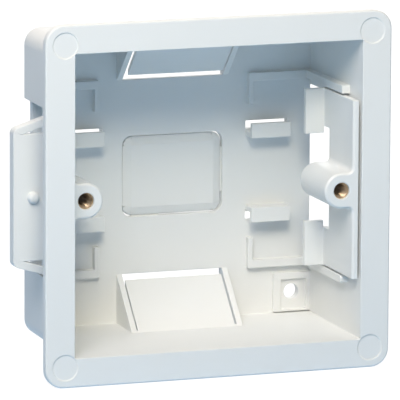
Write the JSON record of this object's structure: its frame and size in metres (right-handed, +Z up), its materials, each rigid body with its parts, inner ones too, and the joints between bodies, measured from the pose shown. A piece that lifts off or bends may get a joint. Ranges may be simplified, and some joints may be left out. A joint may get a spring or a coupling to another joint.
{
  "type": "drywall back box",
  "caption": "Square plastic back box for plasterboard walls, with a thin flange, break-out cable entries and sliding lugs that clamp the board and take the accessory screws.",
  "frame": {"origin": "middle of the opening, in the plane of the flange's front face", "axes": "+X to the right seen from the room, +Y into the wall, +Z up"},
  "size_m": [0.09, 0.035, 0.084],
  "materials": {
    "white_pvc": "smooth moulded white PVC with a soft sheen",
    "brass": "bright turned brass"
  },
  "bodies": {
    "box": {"box_body": "white_pvc"},
    "left_slider": {"left_lug": "white_pvc", "left_insert": "brass"},
    "right_slider": {"right_lug": "white_pvc", "right_insert": "brass"}
  },
  "joints": [
    {"name": "left_lug_slide", "type": "slide", "parent": "box", "child": "left_slider", "axis": [0, -1, 0], "range_m": [-0.0055, 0.0059]},
    {"name": "right_lug_slide", "type": "slide", "parent": "box", "child": "right_slider", "axis": [0, -1, 0], "range_m": [-0.0114, 0]}
  ]
}
